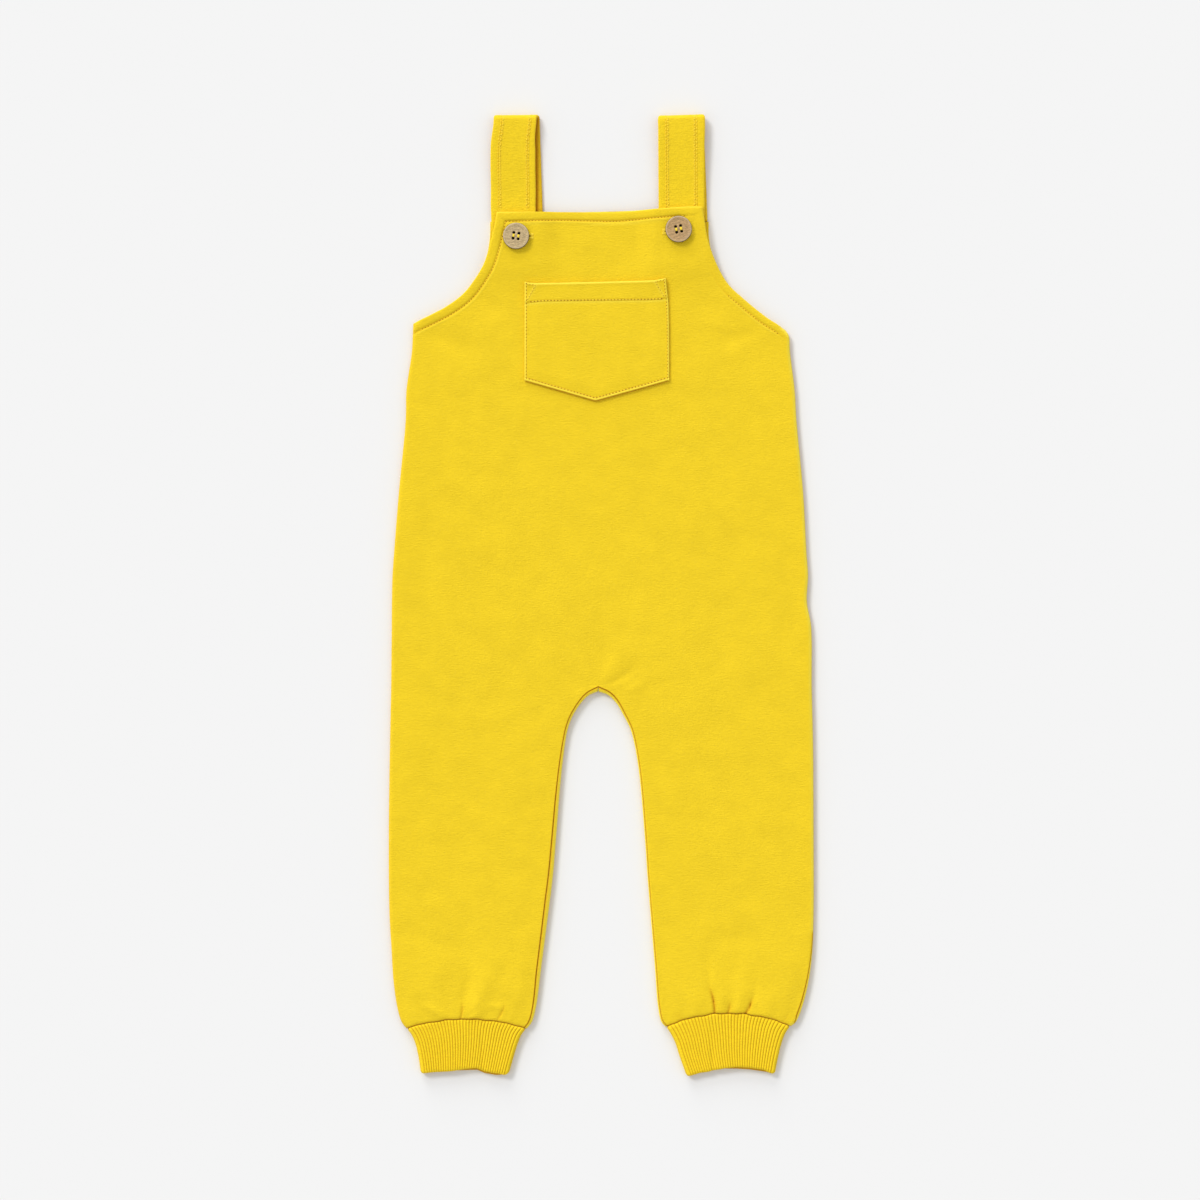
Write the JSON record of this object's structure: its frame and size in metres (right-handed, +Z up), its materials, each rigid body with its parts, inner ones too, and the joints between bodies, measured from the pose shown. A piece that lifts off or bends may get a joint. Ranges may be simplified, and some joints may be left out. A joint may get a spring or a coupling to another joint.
{
  "type": "kids dungarees",
  "caption": "Toddler's dungarees in yellow sweatshirt fleece, laid flat: bib with patch pocket, straps folded at the shoulder and buttoned to it, ribbed ankle cuffs.",
  "frame": {"origin": "on the surface that the garment lies on, at the middle of its width and length", "axes": "+X to the right of someone looking down at the front, +Y from the ankle cuffs to the shoulder straps, +Z up out of the surface"},
  "size_m": [0.2894, 0.6542, 0.0105],
  "materials": {
    "fleece": "soft matt cotton sweatshirt fleece",
    "rib_knit": "soft matt rib knit",
    "coconut_shell": "lightly polished coconut shell"
  },
  "bodies": {
    "root": {"front_panel": "fleece", "pocket": "fleece", "back_panel_left": "fleece", "back_panel_right": "fleece", "strap_left": "fleece", "strap_right": "fleece", "cuff_left": "rib_knit", "cuff_right": "rib_knit", "button_left": "coconut_shell", "button_right": "coconut_shell"}
  },
  "joints": []
}
